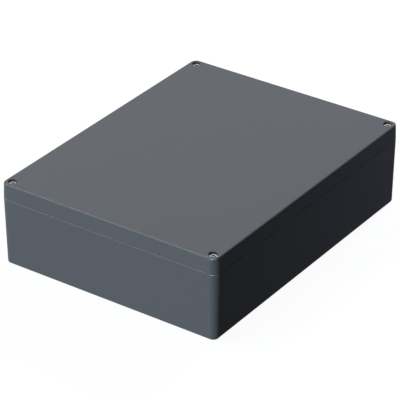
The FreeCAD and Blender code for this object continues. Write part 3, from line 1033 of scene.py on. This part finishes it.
@dataclass
class EarthTerminals:
    """The two earth terminals: a saddle clamp, a split spring washer and a slotted screw each. The lid's
    hangs upside down. Sizes are in millimetres, and the slit of the washer is in degrees."""

    clamp_height: float = 3.0
    clamp_edge: float = 0.18
    clamp_rounds: int = 2
    washer_bore: float = 2.7
    washer_radius: float = 4.35
    washer_height: float = 1.2
    washer_slit: float = 14.0
    washer_edge: float = 0.15
    washer_steps: int = 56
    screw: Fastener = field(
        default_factory=lambda: Fastener(
            head_radius=4.5,
            head_height=3.2,
            brow=0.9,
            shank_radius=2.2,
            thread_radius=2.5,
            thread_pitch=0.8,
            thread_top=-0.1,
            tip=-12.2,
            tip_bevel=0.6,
            slot_width=1.2,
            slot_depth=1.6,
        )
    )
    plate: ZincPlate = ZincPlate("clear_zinc_plated_steel", "#BFC4C8", 0.36, metallic=1.0)

    def build(self) -> None:
        """Makes both terminals."""
        zinc = self.plate.build()
        for owner, away in ((Owner.BASE, 1), (Owner.LID, -1)):
            x, y, seat = owner.earth_seat
            turned_over = Matrix.Rotation(math.pi if away < 0 else 0.0, 4, "X")
            washer_foot = seat + away * self.clamp_height
            head_foot = washer_foot + away * self.washer_height
            screw = self.screw.build(f"earth_screw_{owner.value}")
            screw.matrix_basis = Matrix.Translation(Vector((x, y, head_foot)) * MM) @ turned_over
            washer = self.spring_washer(f"earth_washer_{owner.value}")
            washer.matrix_basis = Matrix.Translation(Vector((x, y, washer_foot)) * MM) @ turned_over
            clamp = softened_copy(f"{owner.value}_earth_clamp", self.clamp_edge, self.clamp_rounds)
            for piece, ending in ((screw, "screw"), (washer, "spring_washer"), (clamp, "clamp")):
                carry(piece, f"{owner.value}_earth_{ending}", owner.value, zinc)

    def spring_washer(self, name: str) -> bpy.types.Object:
        """Makes a spring washer that is pressed flat, with its slanting slit.

        Args:
            name: the piece's name.

        Returns:
            The washer, at the origin.
        """
        shape = bmesh.new()
        slit = math.radians(self.washer_slit)
        section = washer_section(self.washer_bore, self.washer_radius, self.washer_height)
        sections = []
        for i in range(self.washer_steps + 1):
            corners = []
            for radius, height in section:
                start = slit / 4 + slit / 2 * (height / self.washer_height - 0.5)
                angle = start + (FULL_TURN - slit / 2) * i / self.washer_steps
                place = Vector((radius * math.cos(angle), radius * math.sin(angle), height)) * MM
                corners.append(shape.verts.new(place))
            sections.append(corners)
        stack_rings(shape, sections)
        piece = object_from(name, shape)
        break_edges(piece, self.washer_edge)
        return piece


@dataclass
class Seal:
    """The ring of cellular rubber in the lid's groove, rounded as extruded cord is, by so many
    millimetres."""

    edge: float = 0.7
    rounds: int = 4
    rubber: CellularRubber = CellularRubber("black_cellular_rubber", "#1C1C1D", 0.82)

    def build(self) -> None:
        """Makes the seal."""
        ring = softened_copy("lid_gasket", self.edge, self.rounds)
        carry(ring, "lid_gasket", Owner.LID.value, self.rubber.build())


# Studio


@dataclass(frozen=True)
class Lamp:
    """A soft square lamp that faces the box. Its strength is the light that it gives there, where 1 shows a
    colour as it is written. Its distance and width are in metres."""

    name: str
    towards: Point
    strength: float
    colour: str = "#FFFFFF"
    distance: float = 6.0
    width: float = 2.0

    def build(self) -> None:
        """Hangs the lamp."""
        light = bpy.data.lights.new(self.name, "AREA")
        light.shape = "SQUARE"
        light.size = self.width
        light.energy = self.strength * (math.pi * self.distance) ** 2
        light.color = linear(self.colour)[:3]
        lamp = bpy.data.objects.new(self.name, light)
        direction = Vector(self.towards).normalized()
        lamp.location = direction * self.distance
        lamp.rotation_mode = "QUATERNION"
        lamp.rotation_quaternion = direction.to_track_quat("Z", "Y")
        bpy.context.scene.collection.objects.link(lamp)


@dataclass
class Studio:
    """A plain pale floor, a white surround, soft lamps and the camera, whose angles are in degrees and
    lengths in metres. Its lens is in millimetres, as Blender has it."""

    half_floor: float = 6.0
    # Where it is seen, the paper is a grey that the lamps light and the box shades, and its glow makes the
    # rest of the white. Where it only throws light back it is nearly black, as the box's dark side asks.
    paper_colour: str = "#54575A"
    paper_glow: float = 0.94
    bounce_colour: str = "#121313"
    azimuth: float = 34.979
    elevation: float = 29.930
    distance: float = 2.879904
    aside: float = -0.005096
    upwards: float = -0.010523
    aim_height: float = 0.055
    lens: float = 212.09
    sight: float = 50.0
    # The side lamp hangs near, so that it lights the far end of the dark side more than the near one.
    lamps: tuple[Lamp, ...] = (
        Lamp("front_lamp", (0.06, -1.0, 0.07), 0.566, colour="#EDF9FF", width=0.8),
        Lamp("back_lamp", (-0.06, 0.85, 0.52), 0.758, colour="#FBFFFE", distance=12.0, width=3.0),
        Lamp("left_lamp", (-0.75, -0.35, 0.56), 0.369, colour="#E2E6FF", width=1.0),
        Lamp("top_lamp", (-0.50, -0.10, 0.86), 0.296, colour="#FFF5E3", distance=4.0, width=0.8),
        Lamp("front_left_lamp", (-0.50, -0.50, 0.71), 0.092, colour="#F2FCFF", width=1.0),
        Lamp("side_lamp", (0.80, 1.10, 0.40), 0.086, colour="#E2DCFF", distance=0.8, width=0.25),
    )

    def build(self) -> None:
        """Sets up the whole studio."""
        scene = bpy.context.scene
        scene.view_settings.view_transform = "Standard"
        self.floor()
        self.surround()
        for lamp in self.lamps:
            lamp.build()
        scene.camera = self.camera()

    def seen_directly(self, tree: Tree) -> Socket:
        """Tells rays that show the surround itself from rays that light the box.

        Args:
            tree: the node tree that asks.

        Returns:
            A value that is 1 in the picture, in metal and through glass, and 0 otherwise.
        """
        rays = add_node(tree, "ShaderNodeLightPath").outputs
        seen = add_node(
            tree,
            "ShaderNodeMath",
            {"operation": "MAXIMUM"},
            {0: rays["Is Camera Ray"], 1: rays["Is Glossy Ray"]},
        ).outputs[0]
        return add_node(
            tree, "ShaderNodeMath", {"operation": "MAXIMUM"}, {0: seen, 1: rays["Is Transmission Ray"]}
        ).outputs[0]

    def floor(self) -> None:
        """Lays white paper that shows the box's shadow and throws little light back."""
        shape = bmesh.new()
        bmesh.ops.create_grid(shape, x_segments=1, y_segments=1, size=self.half_floor)
        floor = object_from("studio_floor", shape)
        material = bpy.data.materials.new("matt_white_paper")
        material.use_nodes = True
        tree = material.node_tree
        tree.nodes.clear()
        bounce, paper = (
            add_node(tree, "ShaderNodeBsdfDiffuse", inputs={"Color": linear(colour)}).outputs[0]
            for colour in (self.bounce_colour, self.paper_colour)
        )
        glow = add_node(tree, "ShaderNodeEmission", inputs={"Strength": self.paper_glow}).outputs[0]
        white = add_node(tree, "ShaderNodeAddShader", inputs={0: paper, 1: glow}).outputs[0]
        surface = add_node(
            tree, "ShaderNodeMixShader", inputs={0: self.seen_directly(tree), 1: bounce, 2: white}
        ).outputs[0]
        add_node(tree, "ShaderNodeOutputMaterial", inputs={"Surface": surface})
        floor.data.materials.append(material)

    def surround(self) -> None:
        """Makes the surround, white where it is seen and dark as a source of light."""
        world = bpy.data.worlds.new("white_surround")
        world.use_nodes = True
        tree = world.node_tree
        tree.nodes.clear()
        dark, white = (
            add_node(
                tree, "ShaderNodeBackground", inputs={"Color": linear("#FFFFFF"), "Strength": strength}
            ).outputs[0]
            for strength in (0.0, 1.0)
        )
        surface = add_node(
            tree, "ShaderNodeMixShader", inputs={0: self.seen_directly(tree), 1: dark, 2: white}
        ).outputs[0]
        add_node(tree, "ShaderNodeOutputWorld", inputs={"Surface": surface})
        bpy.context.scene.world = world

    def camera(self) -> bpy.types.Object:
        """Makes the camera at the photograph's angle.

        Returns:
            The camera.
        """
        azimuth, elevation = math.radians(self.azimuth), math.radians(self.elevation)
        back = Vector(
            (
                math.sin(azimuth) * math.cos(elevation),
                -math.cos(azimuth) * math.cos(elevation),
                math.sin(elevation),
            )
        )
        right = (-back).cross(Vector((0, 0, 1))).normalized()
        up = right.cross(-back)
        aim = Vector((0, 0, self.aim_height)) + right * self.aside + up * self.upwards
        lens = bpy.data.cameras.new("camera")
        lens.lens = self.lens
        lens.clip_end = self.sight
        camera = bpy.data.objects.new("camera", lens)
        turn = Matrix((right, up, back)).transposed().to_4x4()
        camera.matrix_basis = Matrix.Translation(aim + back * self.distance) @ turn
        bpy.context.scene.collection.objects.link(camera)
        return camera


def main() -> None:
    """Builds the studio and every sub-assembly."""
    logging.basicConfig(level=logging.INFO, format="%(name)s %(message)s")
    Studio().build()
    Castings().build()
    LidScrews().build()
    EarthTerminals().build()
    Seal().build()


if __name__ == "__main__":
    main()
